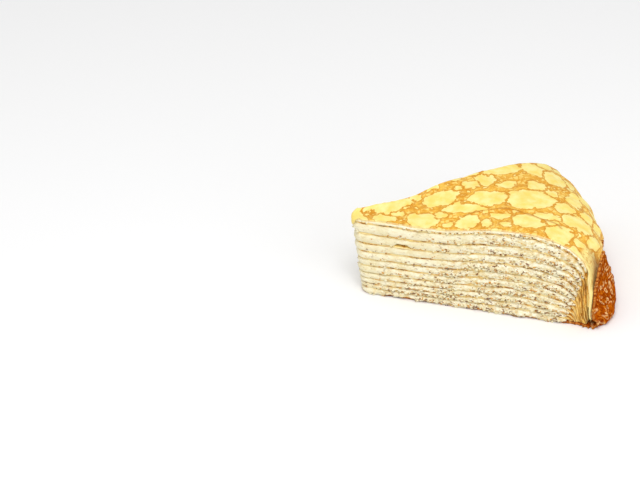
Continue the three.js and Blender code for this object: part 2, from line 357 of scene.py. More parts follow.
def layer_mesh(name, under, over, levels, wall, values, crumbs=None):
    """A closed mesh between two grids of points.

    levels are the wall's rows as shares of the thickness, from 0 to 1. wall(points, level,
    outward) gives how far the wall's points move outwards and upwards and how recessed they
    are; the cream's material darkens the recessed places as painted shade.
    values are grids of attributes. crumbs(points, outward, level) gives loose bits on the wall.
    """
    rows, columns = under.shape[:2]
    ring = perimeter(rows, columns)
    at = ring[:, 0], ring[:, 1]
    low, high = under[at], over[at]
    middle = (low + high) / 2
    along = np.roll(middle, -1, axis=0) - np.roll(middle, 1, axis=0)
    upward = unit(high - low)
    outward = unit(np.cross(along, upward))
    points = np.array([low + (high - low) * level for level in levels])
    level_grid = np.broadcast_to(np.array(levels)[:, None], points.shape[:2])
    outward_grid = np.broadcast_to(outward, points.shape)
    outside, slip, hollow_shade = wall(points, level_grid, outward_grid)
    points = points + outward * outside[..., None] + upward * slip[..., None]
    points[..., 2] = np.maximum(points[..., 2], 0)
    under, over = under.copy(), over.copy()
    under[at] = points[0]
    over[at] = points[-1]

    size = rows * columns
    below = np.arange(size).reshape(rows, columns)
    above = below + size
    between = 2 * size + np.arange((len(levels) - 2) * len(ring)).reshape(-1, len(ring))
    strip = np.vstack([below[at], between, above[at]])
    strip = np.hstack([strip, strip[:, :1]])
    turned = [0, 3, 2, 1]
    quads = np.concatenate([
        grid_quads(above), grid_quads(below)[:, turned], grid_quads(strip)[:, turned]])
    parts = under, over, points[1:-1]
    vertices = np.concatenate([part.reshape(-1, 3) for part in parts])
    bits, bit_faces, bit_browned = np.empty((0, 3)), np.empty((0, 3), int), np.empty(0)
    if crumbs:
        bits, bit_faces, bit_browned = crumbs(points, outward_grid, level_grid)
    piece = mesh_object(name, np.vstack([vertices, bits]), quads, bit_faces + len(vertices))

    def spread(value):
        """A grid's values for every vertex, and 0 on crumbs."""
        inner = np.broadcast_to(value[at], (len(levels) - 2, *value[at].shape))
        tail = value.shape[2:]
        loose = np.zeros((len(bits), *tail))
        flat = value.reshape(-1, *tail)
        return np.concatenate([flat, flat, inner.reshape(-1, *tail), loose])

    for key, value in values.items():
        add_attribute(piece, key, spread(value))
    edges = np.zeros((2, rows, columns))
    edges[0][at], edges[1][at] = hollow_shade[0], hollow_shade[-1]
    none = np.zeros(len(bits))
    add_attribute(piece, "hollow_shade", np.concatenate([edges.ravel(), hollow_shade[1:-1].ravel(), none]))
    cut = np.concatenate([np.zeros(2 * size), np.ones(between.size), none + 1])
    add_attribute(piece, "cut", cut)
    add_attribute(piece, "browned", np.concatenate([np.zeros(len(vertices)), bit_browned]))
    return piece


def add_object(name, data):
    made = bpy.data.objects.new(name, data)
    bpy.context.scene.collection.objects.link(made)
    return made


def mesh_object(name, vertices, quads, triangles):
    corners = np.concatenate([quads.ravel(), triangles.ravel()]).astype(np.int32)
    sizes = np.concatenate([np.full(len(quads), 4), np.full(len(triangles), 3)])
    starts = np.concatenate([[0], np.cumsum(sizes)[:-1]]).astype(np.int32)
    mesh = bpy.data.meshes.new(name)
    mesh.vertices.add(len(vertices))
    mesh.vertices.foreach_set("co", (vertices * MM).astype(np.float32).ravel())
    mesh.loops.add(len(corners))
    mesh.loops.foreach_set("vertex_index", corners)
    mesh.polygons.add(len(sizes))
    mesh.polygons.foreach_set("loop_start", starts)
    mesh.update(calc_edges=True)
    mesh.polygons.foreach_set("use_smooth", np.ones(len(sizes), bool))
    return add_object(name, mesh)


def add_attribute(piece, name, values):
    values = np.asarray(values, np.float32)
    kind = "FLOAT_VECTOR" if values.ndim == 2 else "FLOAT"
    attribute = piece.data.attributes.new(name, kind, "POINT")
    attribute.data.foreach_set("vector" if values.ndim == 2 else "value", values.ravel())


def developed(radii, shares, heights):
    """Coordinates on the flat, uncut crepe, in millimetres: the pattern of browning lies there."""
    step = np.hypot(np.diff(radii, axis=0), np.diff(heights, axis=0))
    length = radii[:1] + np.concatenate([np.zeros((1, radii.shape[1])), np.cumsum(step, axis=0)])
    angle = shares * WEDGE
    return np.stack([length * np.cos(angle), length * np.sin(angle), length * 0], axis=-1)


def in_plan(distance, degrees):
    angle = math.radians(degrees)
    return distance * math.cos(angle), distance * math.sin(angle)


def patch_outlines(seed):
    """Pale patches as x, y, half length, half width and turn; small ones fill gaps at random."""
    rng = np.random.default_rng(seed)
    patches = []
    for distance, angle, long, wide, turn in PATCHES:
        long, wide = long * PATCH_GROWTH / 2, wide * PATCH_GROWTH / 2
        turn = math.radians(angle) + math.radians(turn)
        patches.append((*in_plan(distance, angle), long, wide, turn))
    for size in np.geomspace(*FILL_SIZES, FILL_TRIES):
        distance = SHEET_RADIUS * math.sqrt(rng.random())
        a = WEDGE * (rng.random() * 1.2 - 0.1)
        x, y = distance * math.cos(a), distance * math.sin(a)
        gap = rng.uniform(*FILL_GAPS)
        near = ((math.hypot(x - p[0], y - p[1]), 0.85 * math.sqrt(p[2] * p[3])) for p in patches)
        if all(away > size + reach + gap for away, reach in near):
            long, wide = size * rng.uniform(1, 1.3), size * rng.uniform(0.75, 1)
            patches.append((x, y, long, wide, rng.random() * 3))
    return patches


def pale_patches(sheet, seed):
    """How far inside the nearest pale patch of the top crepe a point lies, in millimetres."""
    drift = [sum(PATCH_DRIFT[size] * bumps(sheet, size, seed + i) for size in PATCH_DRIFT)
             for i in (0, 1)]
    first = np.full(sheet.shape[:-1], -99.0)
    second = first.copy()
    for x, y, long, wide, turn in patch_outlines(seed):
        across, along = sheet[..., 0] + drift[0] - x, sheet[..., 1] + drift[1] - y
        u = (across * math.cos(turn) + along * math.sin(turn)) / long
        v = (along * math.cos(turn) - across * math.sin(turn)) / wide
        inside = (1 - np.hypot(u, v)) * math.sqrt(long * wide)
        second = np.maximum(second, np.minimum(first, inside))
        first = np.maximum(first, inside)
    return np.minimum(first, (first - second) * 0.5)


def crease_at(sheet):
    """1 along the crease, fading to 0 beside it."""
    nearest = np.full(sheet.shape[:-1], 99.0)
    line = [in_plan(*point) for point in CREASE]
    for (x0, y0), (x1, y1) in zip(line, line[1:]):
        across, along = sheet[..., 0] - x0, sheet[..., 1] - y0
        size = (x1 - x0) ** 2 + (y1 - y0) ** 2
        t = np.clip((across * (x1 - x0) + along * (y1 - y0)) / size, 0, 1)
        away = np.hypot(across - t * (x1 - x0), along - t * (y1 - y0))
        nearest = np.minimum(nearest, away)
    return bell(nearest, 0, CREASE_WIDTH)


def from_tip(points):
    """Distance in plan from the tip, of points in the part's frame."""
    return np.hypot(points[..., 0] + MIDDLE[0], points[..., 1] + MIDDLE[1])


# -------- cut faces

SMOOTHED_LENGTH = 42  # the knife has smeared the cream smooth near the tip and the top
SLIT_PLACE = (18.7, 24.3)  # distance from the tip and height of a gap under a crepe
SLIT_SIZE = (3.4, 1.3)
SLIT_DEPTH = 3
PIT_DEPTH = 0.8

# Random fields where the knife has torn the cream.
CREAM_TORN = ((0.26, (4, 4, 1.1), 42), (0.3, (1.6, 1.6, 0.9), 43), (0.28, (0.8, 0.8, 0.6), 44))


def roughness_of_cut(points):
    """From 0.3 where the knife has smoothed the cream to 1 where it has torn it."""
    along = from_tip(points) / SMOOTHED_LENGTH
    low = (20 - points[..., 2]) / 30
    return 0.3 + 0.7 * smoothstep(along + low + 0.25 * bumps(points, (9, 9, 4), 31), 0.45, 1.25)


def slit(points, outward):
    """Depth, from 0 to 1, of the gap in the front cut face."""
    front = outward[..., 1] < -0.9
    across = (from_tip(points) - SLIT_PLACE[0]) / SLIT_SIZE[0]
    up = (points[..., 2] - SLIT_PLACE[1]) / SLIT_SIZE[1]
    return front * np.clip(1.25 * (1 - np.abs(across) ** 3 - np.abs(up) ** 3), 0, 1)


def cream_wall(thickness, lowest):
    """The cut face of one layer of cream: a rounded ridge, smeared over the crepes beside it."""
    ridge_height = 0.3 + 0.13 * thickness
    lap = 1.1 if lowest else 0.38

    def wall(points, level, outward):
        torn = roughness_of_cut(points)
        ridge = (1 - np.abs(2 * level - 1) ** 2.5) ** 0.62
        outside = -0.35 + (0.35 + ridge_height) * ridge
        outside += ridge * 0.25 * bumps(points, (9, 9, 3), 41)
        for depth, size, seed in CREAM_TORN:
            outside += ridge * torn * depth * bumps(points, size, seed)
        if lowest:
            lumps = np.clip(bumps(points * (1, 1, 0), 2.0, 49), 0, 1)
            outside += (0.25 + 0.8 * lumps) * bell(level, 0.15, 0.25) * (level > 0)
        pits = dents(points, 1.9, 0.5, 0.5, 45)
        pits = pits * smoothstep(torn * (0.5 + bell(level, 0.3, 0.28)), 0.5, 1.1)
        gap = slit(points, outward)
        outside -= PIT_DEPTH * pits + SLIT_DEPTH * gap
        # The mask below marks the pits, the slit and the seam at the layer's foot; the cream's
        # material darkens these as painted shade.
        hollow_shade = np.clip(pits * 1.1 + gap + 0.6 * (level < 0.05), 0, 1)
        return outside, cream_slip(points, level, torn, lap), hollow_shade

    return wall


def cream_slip(points, level, torn, lap):
    """How far the lips of a layer's ridge run down, and up, over the crepes beside it."""
    lower_lip = bell(level, 0.1, 0.09) * (level > 0)
    upper_lip = bell(level, 0.92, 0.07) * (level < 1)
    flow = np.clip(0.5 + 0.7 * bumps(points * (1, 1, 0), 3.4, 46), 0.1, 1)
    drip = np.clip(bumps(points * (1, 1, 0.3), 1.3, 47), 0, 1) * torn
    rise = np.clip(0.3 + bumps(points * (1, 1, 0.3), 2.2, 48), 0, 1)
    return -lap * (flow + 0.6 * drip) * lower_lip + 0.3 * rise * upper_lip


def crepe_wall(points, level, outward):
    """The cut edge of a crepe: set back between the cream's ridges, with torn bits standing out."""
    back = -0.06 + 0.12 * bumps(points, (1.6, 1.6, 4), 51)
    torn = np.clip(bumps(points, (2.4, 2.4, 6), 52) - 0.3, 0, 1) * 0.8
    fine = 0.08 * bumps(points, 0.6, 53)
    round_edge = -0.1 * np.abs(2 * level - 1) ** 2
    return back + torn + fine + round_edge, 0 * level, np.clip(0.5 - torn, 0, 1)


CUT_LENGTH = 190  # about both cut faces together
BITS_PER_MM = 3.2
BIT_SIZES = (0.17, 0.46)
BITS_END = 92  # none beyond this distance from the tip
CRUMB_SHARE = 0.3
CRUMB_GROWTH = 1.7


def icosahedron():
    """Corners and outward-facing triangles of an icosahedron of radius 1."""
    golden = (1 + math.sqrt(5)) / 2
    corners = [(a, b * golden, 0) for a in (-1, 1) for b in (-1, 1)]
    corners += [(0, a, b * golden) for a in (-1, 1) for b in (-1, 1)]
    corners += [(a * golden, 0, b) for a in (-1, 1) for b in (-1, 1)]
    corners = unit(np.array(corners, float))
    just_over_edge = 1.06
    near = np.linalg.norm(corners[:, None] - corners[None], axis=-1) < just_over_edge
    faces = []
    for i, j, k in itertools.combinations(range(12), 3):
        if near[i, j] and near[j, k] and near[i, k]:
            normal = np.cross(corners[j] - corners[i], corners[k] - corners[i])
            faces.append((i, j, k) if np.dot(normal, corners[i]) > 0 else (i, k, j))
    return corners, np.array(faces)


BIT_CORNERS, BIT_FACES = icosahedron()


def crumbs_for(seed, lowest):
    """Flakes of browned crepe and crumbs of cream that stick to one layer's cut face."""

    def crumbs(points, outward, level):
        rng = np.random.default_rng(seed)
        torn = roughness_of_cut(points)
        patchy = smoothstep(bumps(points, (5, 5, 3), 55), -0.3, 0.6)
        chance = bell(level, 0.22, 0.25) * torn**2 * (0.08 + patchy)
        chance = chance * (outward[..., 2] ** 2 < 0.25) * (from_tip(points) < BITS_END)
        if lowest:
            chance = chance + 0.5 * (level < 0.2)
        count = int(BITS_PER_MM * CUT_LENGTH)
        picked = rng.choice(points.size // 3, count, p=(chance / chance.sum()).ravel())
        where = points.reshape(-1, 3)[picked] + outward.reshape(-1, 3)[picked] * 0.03
        cream = rng.random(count) < CRUMB_SHARE
        size = rng.uniform(*BIT_SIZES, count) * np.where(cream, CRUMB_GROWTH, 1)
        stretch = rng.uniform(0.55, 1.3, (count, 1, 3)) * (1.2, 1.2, 0.7)
        shape = BIT_CORNERS * rng.uniform(0.7, 1.25, (count, 12, 1)) * stretch
        bits = where[:, None] + shape * size[:, None, None]
        bits[..., 2] = np.maximum(bits[..., 2], 0)
        faces = BIT_FACES[None] + 12 * np.arange(count)[:, None, None]
        browned = np.repeat(np.where(cream, 0.0, rng.uniform(0.7, 1, count)), 12)
        return bits.reshape(-1, 3), faces.reshape(-1, 3), browned

    return crumbs


# -------- shaders


def rgb(red, green, blue):
    """A linear colour, with alpha, from 0 to 255 display values."""
    values = np.array([red, green, blue]) / 255
    linear = np.where(values <= 0.04045, values / 12.92, ((values + 0.055) / 1.055) ** 2.4)
    return (*map(float, linear), 1.0)


# Colours; where there are two, the material wanders between them.
LACE = rgb(226, 154, 38), rgb(242, 188, 74)
LACE_FLECKS = rgb(252, 216, 112)
LACE_CELLS = rgb(253, 222, 124)
PATCH_OUTLINE = rgb(210, 136, 34)
PATCH = rgb(251, 221, 114), rgb(255, 240, 160)
CREASE_SHADE_COLOR = rgb(190, 116, 24)
FLAP = rgb(252, 220, 120), rgb(255, 244, 170)
FLAP_STREAKS = rgb(222, 168, 70)
TOP_EDGE = rgb(238, 216, 160)
INNER_FACE = rgb(214, 150, 56), rgb(248, 214, 130)
INNER_EDGE = rgb(247, 229, 170), rgb(235, 202, 126)
INNER_BROWNED = rgb(212, 136, 48), rgb(118, 56, 16)
INNER_STRANDS = rgb(140, 80, 4), rgb(246, 200, 100)
BASE_FACE = rgb(128, 40, 0), rgb(176, 80, 4)
BASE_FLECKS = rgb(218, 128, 30)
BASE_BLISTERS_AND_HIGHLIGHTS = rgb(244, 198, 134)
BASE_EDGE = rgb(134, 58, 6), rgb(214, 146, 70)
CREAM_FACE = rgb(233, 222, 180), rgb(241, 233, 201)
CREAM_PAINTED_SHADE = rgb(222, 190, 120)
CREAM_PAINTED_HIGHLIGHT = rgb(255, 248, 222)
CREAM_HOLLOW_SHADE = rgb(212, 178, 108)
FLAKES = rgb(218, 154, 50), rgb(120, 64, 14)


class Look:
    """A material being made: each method adds a node and returns its output."""

    def __init__(self, name):
        self.material = bpy.data.materials.new(name)
        self.material.use_nodes = True
        self.tree = self.material.node_tree
        self.surface = self.tree.nodes["Principled BSDF"]

    def feed(self, socket, value):
        if isinstance(value, bpy.types.NodeSocket):
            self.tree.links.new(value, socket)
        else:
            socket.default_value = value

    def node(self, kind, inputs, output=0, **settings):
        made = self.tree.nodes.new("ShaderNode" + kind)
        for key, value in settings.items():
            setattr(made, key, value)
        for key, value in inputs.items():
            self.feed(made.inputs[key], value)
        return made.outputs[output]

    def attribute(self, name, output="Fac"):
        return self.node("Attribute", {}, output, attribute_name=name)

    def place(self):
        """Position on the object, in millimetres."""
        position = self.node("TexCoord", {}, "Object")
        return self.vector("SCALE", position, Scale=1 / MM)

    def vector(self, operation, first, second=None, **inputs):
        inputs[0] = first
        if second is not None:
            inputs[1] = second
        return self.node("VectorMath", inputs, operation=operation)

    def math(self, operation, first, second):
        return self.node("Math", {0: first, 1: second}, operation=operation)

    def product(self, first, second):
        return self.math("MULTIPLY", first, second)

    def step(self, value, low, high, to_low=0.0, to_high=1.0):
        inputs = {"Value": value, "From Min": low, "From Max": high}
        inputs |= {"To Min": to_low, "To Max": to_high}
        return self.node("MapRange", inputs, interpolation_type="SMOOTHSTEP")

    def noise(self, vector, size, detail=3.0, roughness=0.55, output="Fac"):
        inputs = {"Vector": vector, "Scale": 1 / size, "Detail": detail, "Roughness": roughness}
        return self.node("TexNoise", inputs, output)

    def wobbled(self, vector, size, reach):
        drift = self.noise(vector, size, 2.0, 0.5, "Color")
        return self.vector("ADD", vector, self.vector("SCALE", drift, Scale=reach))

    def cells(self, vector, size, feature="F1", output="Distance"):
        inputs = {"Vector": vector, "Scale": 1 / size}
        return self.node("TexVoronoi", inputs, output, feature=feature,
                         voronoi_dimensions="2D")

    def luck(self, vector, size):
        """A random number for each cell."""
        tint = self.cells(vector, size, "F1", "Color")
        return self.node("SeparateColor", {"Color": tint})

    def mix(self, share, first, second):
        return self.node("Mix", {0: share, 6: first, 7: second}, 2, data_type="RGBA")

    def bump(self, height, strength, distance, normal=None):
        inputs = {"Height": height, "Strength": strength, "Distance": distance * MM}
        if normal is not None:
            inputs["Normal"] = normal
        return self.node("Bump", inputs)

    def finish(self, color, roughness, normal=None, **constants):
        self.feed(self.surface.inputs["Base Color"], color)
        self.feed(self.surface.inputs["Roughness"], roughness)
        if normal is not None:
            self.feed(self.surface.inputs["Normal"], normal)
        for key, value in constants.items():
            self.surface.inputs[key.replace("_", " ")].default_value = value
        return self.material


def browning(look, sheet):
    """How pale a fried crepe is, from 0 in the brown lace to 1 in the pale patches between it."""
    shifted = look.vector("ADD", sheet, (74.0, 182.0, 0.0))
    warped = shifted
    for size, reach in ((9.0, 6.0), (2.2, 1.3)):
        drift = look.noise(shifted, size, 2.0, 0.5, "Color")
        drift = look.vector("SUBTRACT", drift, (0.5, 0.5, 0.5))
        warped = look.vector("ADD", warped, look.vector("SCALE", drift, Scale=reach))
    widen = look.noise(shifted, 14.0, 2.0)
    pale = None
    # Patch size, share of patches left brown, width of the lace round each patch.
    for size, brown, width in ((12.5, 0.2, 0.085), (6.2, 0.3, 0.1), (3.0, 0.35, 0.13)):
        edge = look.cells(warped, size, "DISTANCE_TO_EDGE")
        line = look.step(widen, 0.35, 0.7, width * 0.45, width * 1.9)
        patch = look.step(look.math("SUBTRACT", edge, line), -0.01, 0.05)
        kept = look.step(look.luck(warped, size), brown - 0.02, brown + 0.02)
        patch = look.product(patch, kept)
        pale = patch if pale is None else look.math("MAXIMUM", pale, patch)
    return pale


def lace_color(look, sheet, mottle, grain, outline):
    """The browned part of the top crepe: mottled, with small pale cells, dark round patches."""
    lace = look.mix(look.step(mottle, 0.35, 0.65), *LACE)
    lace = look.mix(look.step(grain, 0.42, 0.68, 0.0, 0.7), lace, LACE_FLECKS)
    wobbled = look.wobbled(sheet, 1.5, 1.4)
    line = look.cells(wobbled, 2.0, "DISTANCE_TO_EDGE")
    kept = look.step(look.luck(wobbled, 2.0), 0.42, 0.6)
    cell = look.product(look.step(line, 0.1, 0.2), kept)
    lace = look.mix(look.product(cell, 0.85), lace, LACE_CELLS)
    return look.mix(look.product(outline, 0.7), lace, PATCH_OUTLINE)


def top_crepe_material():
    look = Look("top_crepe")
    sheet = look.attribute("sheet", "Vector")
    mottle = look.noise(sheet, 5.0, 4.0, 0.6)
    grain = look.noise(sheet, 0.8, 3.0, 0.6)
    ragged = look.math("SUBTRACT", look.noise(sheet, 1.6, 4.0, 0.6), 0.5)
    inside = look.math("ADD", look.attribute("patch"), look.product(ragged, 2.6))
    pale = look.step(inside, 0.35, 0.65)
    outline = look.product(look.step(inside, -0.6, 0.2), look.step(inside, 0.75, 0.3))
    lace = lace_color(look, sheet, mottle, grain, outline)
    patch = look.mix(look.step(mottle, 0.3, 0.68), *PATCH)
    color = look.mix(pale, lace, patch)
    # Painted shade: a darker line along the crease, broken up by the mottle; the crease is also
    # raised in the mesh.
    crease = look.product(look.attribute("crease"), look.step(mottle, 0.3, 0.5))
    color = look.mix(look.product(crease, 0.8), color, CREASE_SHADE_COLOR)
    upright = look.vector("MULTIPLY", look.place(), (1.0, 1.0, 0.2))
    streaks = look.step(look.noise(upright, 0.9, 3.0, 0.6), 0.52, 0.62, 0.0, 0.8)
    flap = look.mix(streaks, look.mix(grain, *FLAP), FLAP_STREAKS)
    color = look.mix(look.attribute("flap"), color, flap)
    color = look.mix(look.product(look.attribute("cut"), 0.75), color, TOP_EDGE)
    height = look.math("ADD", look.product(pale, 0.6), look.product(grain, 0.5))
    normal = look.bump(height, 0.35, 0.25)
    roughness = look.step(grain, 0.3, 0.7, 0.45, 0.6)
    return look.finish(color, roughness, normal, Specular_IOR_Level=0.12)


def inner_crepe_material():
    look = Look("inner_crepe")
    pale = browning(look, look.attribute("sheet", "Vector"))
    place_now = look.place()
    surface = look.mix(pale, *INNER_FACE)
    stretched = look.vector("MULTIPLY", place_now, (0.35, 0.35, 1.0))
    bits = look.noise(stretched, 0.9, 3.0, 0.6)
    band = look.noise(stretched, 3.6, 2.0, 0.5)
    browned = look.product(look.step(bits, 0.47, 0.56), look.step(band, 0.42, 0.58))
    edge = look.mix(look.step(band, 0.35, 0.65), *INNER_EDGE)
    edge = look.mix(browned, edge, look.mix(look.step(band, 0.5, 0.62), *INNER_BROWNED))
    # The ends that hang in the skirt are streaked downwards.
    upright = look.vector("MULTIPLY", place_now, (1.0, 1.0, 0.16))
    strands = look.step(look.noise(upright, 0.9, 3.0, 0.6), 0.42, 0.6)
    edge = look.mix(look.attribute("hang"), edge, look.mix(strands, *INNER_STRANDS))
    color = look.mix(look.attribute("cut"), surface, edge)
    normal = look.bump(look.noise(place_now, 0.5, 2.0), 0.4, 0.2)
    return look.finish(color, 0.6, normal, Specular_IOR_Level=0.1)


def base_crepe_material():
    look = Look("base_crepe")
    shifted = look.vector("ADD", look.attribute("sheet", "Vector"), (111.0, 273.0, 0.0))
    mottle = look.noise(shifted, 3.0, 5.0, 0.65)
    fine = look.noise(shifted, 1.0, 3.0, 0.65)
    dark = look.mix(look.step(mottle, 0.38, 0.62), *BASE_FACE)
    dark = look.mix(look.step(fine, 0.48, 0.66, 0.0, 0.85), dark, BASE_FLECKS)
    # Blisters of several sizes: pale rings round browner middles. The pale rings also stand in for
    # the crepe's gloss, a painted highlight, as this surface has no specular reflection.
    wobbled = look.wobbled(shifted, 1.5, 1.6)
    growth = look.step(look.luck(wobbled, 2.7), 0.0, 1.0, 0.5, 1.2)
    blister = look.math("DIVIDE", look.cells(wobbled, 2.7), growth)
    ring = look.product(look.step(blister, 0.1, 0.24), look.step(blister, 0.46, 0.32))
    ring = look.product(ring, look.step(look.noise(shifted, 4.0, 2.0), 0.42, 0.54))
    color = look.mix(look.product(ring, 0.85), dark, BASE_BLISTERS_AND_HIGHLIGHTS)
    edge = look.mix(look.step(fine, 0.4, 0.6), *BASE_EDGE)
    color = look.mix(look.attribute("cut"), color, edge)
    height = look.math("ADD", mottle, look.product(ring, 0.4))
    normal = look.bump(height, 0.6, 0.5)
    normal = look.bump(fine, 0.5, 0.25, normal)
    return look.finish(color, 0.6, normal, Specular_IOR_Level=0.0)


def cream_material():
    look = Look("cream")
    place_now = look.place()
    flat = look.vector("MULTIPLY", place_now, (0.45, 0.45, 1.0))
    soft = look.noise(place_now, 7.0, 3.0)
    smear = look.noise(flat, 1.0, 4.0, 0.65)
    grain = look.noise(place_now, 0.4, 2.0, 0.6)
    torn = look.attribute("torn")
    color = look.mix(look.step(soft, 0.35, 0.65), *CREAM_FACE)
    # Painted shade and painted highlights on the torn cream: darker where the smear noise is high,
    # lighter where it is low.
    painted_shade = look.step(smear, 0.5, 0.64, 0.0, 0.85)
    color = look.mix(look.product(painted_shade, torn), color, CREAM_PAINTED_SHADE)
    color = look.mix(look.product(look.step(smear, 0.5, 0.36), torn), color, CREAM_PAINTED_HIGHLIGHT)
    # Painted shade in the pits, the slit and the seam under each layer's lower lip.
    hollow_shade = look.step(look.attribute("hollow_shade"), 0.25, 0.9, 0.0, 0.9)
    color = look.mix(hollow_shade, color, CREAM_HOLLOW_SHADE)
    # Fine dust of browned crepe that the knife has dragged into the cream.
    patchy = look.noise(place_now, 2.5, 2.0)
    dust = look.step(look.noise(flat, 0.55, 2.0, 0.5), 0.59, 0.64)
    dust = look.product(dust, look.step(patchy, 0.44, 0.56))
    flakes = look.mix(look.step(patchy, 0.42, 0.58), *FLAKES)
    color = look.mix(look.product(dust, torn), color, flakes)
    color = look.mix(look.attribute("browned"), color, flakes)
    height = look.math("ADD", look.product(smear, torn), look.product(grain, 0.35))
    normal = look.bump(height, 0.8, 0.5)
    return look.finish(color, 0.5, normal, Specular_IOR_Level=0.3)


# -------- the pieces


def add_piece(piece, node, material):
    piece.data.materials.append(material)
    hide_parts(node)
    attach(piece, "root")


def crepe_name(crepe):
    suffix = "_base" if crepe == 0 else "_top" if crepe == TOP_CREPE else ""
    return f"crepe_{crepe + 1:02d}{suffix}"


INNER_COLUMNS = 11
HANG_COLUMNS = 45
TOP_COLUMNS = 141
SHEET_LEVELS = [0, 0.33, 0.67, 1]
HANG_RADII = (84, 92)
TOP_RELIEF = ((0.12, 3.0, 61), (0.07, 1.3, 62))

FLAP_SHARE = 0.12  # the grooved strip goes this far from the front cut
FLAP_HEIGHT = 31.5  # and up to here
FLAP_GROOVES = 0.25

SHEET_RADIUS = 130  # the patches reach out to here
FILL_SIZES = (4.5, 0.7)
FILL_TRIES = 2200
FILL_GAPS = (0.1, 1.1)
PATCH_GROWTH = 1.22
PATCH_DRIFT = {5: 1.2, 2: 0.8, 0.9: 0.4}  # how far outlines wander, by the size of the bumps

# Pale patches on top: distance and angle from the tip, length, width and turn from radial.
PATCHES = [
    (3.4, 24, 6, 5, 0), (8.6, 20, 4, 2.6, 0), (12.5, 9, 8, 3.4, 0), (15.5, 36, 16, 7, 0),
    (17.5, 22, 6, 3.4, 0),
    (26.8, 10, 11, 8.5, 0), (22, 28, 3, 2.5, 0), (35, 32, 14, 8, 0), (34, 15, 5, 4, 0),
    (37, 4.5, 5.5, 4.5, 0), (43.5, 18.5, 16, 7, -8), (44.5, 5.5, 8.5, 7, 0), (43.3, 36, 4, 3, 0),
    (49, 35.5, 6.5, 5, 0), (52.3, 23.5, 16, 9, 8), (55.5, 38.5, 7.5, 8, 0), (65, 43, 15, 8, 0),
    (63, 32.5, 7, 6, 0), (56, 10.6, 8, 3.8, 0), (52, 4.5, 5, 5, 0), (60, 5, 5, 4, 0),
    (69, 22, 17, 13, -5), (67.5, 8, 12, 9, -10), (75, 12, 9.5, 3.8, -5), (77, 8.6, 6.5, 3.8, -5),
    (80.3, 4.4, 10.5, 10.5, 0), (73.5, 30.3, 7.5, 7.8, 0), (78.3, 41, 9, 11.5, 0),
    (84, 35, 7, 12, 0), (78.3, 26, 6, 6.5, 0), (82.3, 17.7, 7.5, 9, 0), (88, 25, 5, 12, 0),
    (87, 13, 11, 11, 0), (91.7, 18, 6.5, 8, 0), (89.5, 4.5, 5.5, 6, 0), (94.5, 9.3, 6, 8, 0),
    (98, 17, 6, 8, 0), (93.7, 28, 5.5, 9, 0), (86, 43, 6.5, 6, 0), (91, 34.5, 5, 8, 0),
    (79.3, 30.3, 2.6, 2.6, 0),
]

# A crease across the top: distances and angles from the tip.
CREASE = [(43, 11), (50, 14), (56, 14.8), (62, 14.5), (67, 12.2), (72, 10), (78, 8.6), (81, 7)]
CREASE_WIDTH = 0.45
CREASE_HEIGHT = 0.35


def crepe_grids(crepe, shares):
    """Lower and upper points of a crepe, its flat pattern, and where it hangs, from 0 to 1."""
    bend_length = RIM_RADIUS - BEND_START + face_heights[2 * crepe + 1] * 0.5
    lower, upper = (face_grid(2 * crepe + i, shares, bend_length) for i in (0, 1))
    return place(*lower), place(*upper), developed(*upper), smoothstep(lower[0], *HANG_RADII)


def add_crepe(crepe, under, over, values, material):
    name = crepe_name(crepe)
    piece = layer_mesh(name + "_sheet", under, over, SHEET_LEVELS, crepe_wall, values)
    add_piece(piece, name, material)


def make_inner_crepe(crepe, material):
    columns = HANG_COLUMNS if TOP_CREPE - crepe < len(HANG_ENDS) else INNER_COLUMNS
    under, over, sheet, hang = crepe_grids(crepe, np.linspace(0, 1, columns))
    add_crepe(crepe, under, over, {"sheet": sheet, "hang": hang}, material)


def make_top_crepe(material):
    shares = np.linspace(0, 1, TOP_COLUMNS)
    under, over, sheet, hang = crepe_grids(TOP_CREPE, shares)
    under, over, extra = draped_tip(under, over, shares)
    sheet = np.concatenate([sheet[:1] * (1 - extra[..., None] / TIP_RADIUS), sheet])
    hang = np.concatenate([extra * 0, hang])
    crease = crease_at(sheet)
    flap = smoothstep(over[..., 2], FLAP_HEIGHT + 1, FLAP_HEIGHT - 1) * (hang > 0.5)
    flap = flap * smoothstep(shares, FLAP_SHARE + 0.02, FLAP_SHARE - 0.02)
    grooves = np.clip(bumps(over * (1, 1, 0.22), 1.0, 64) + 0.1, 0, 1)
    relief = rough(over, TOP_RELIEF) + CREASE_HEIGHT * crease - flap * FLAP_GROOVES * grooves
    over = over + unit(over - under) * relief[..., None]
    values = {"sheet": sheet, "hang": hang, "patch": pale_patches(sheet, 63)}
    values |= {"crease": crease, "flap": flap}
    add_crepe(TOP_CREPE, under, over, values, material)


DRAPE_BEND = 0.7
DRAPE_LENGTH = 3.4
DRAPE_ROWS = 9
DRAPE_LEAST = 0.2
DRAPE_RAGGED = 0.7


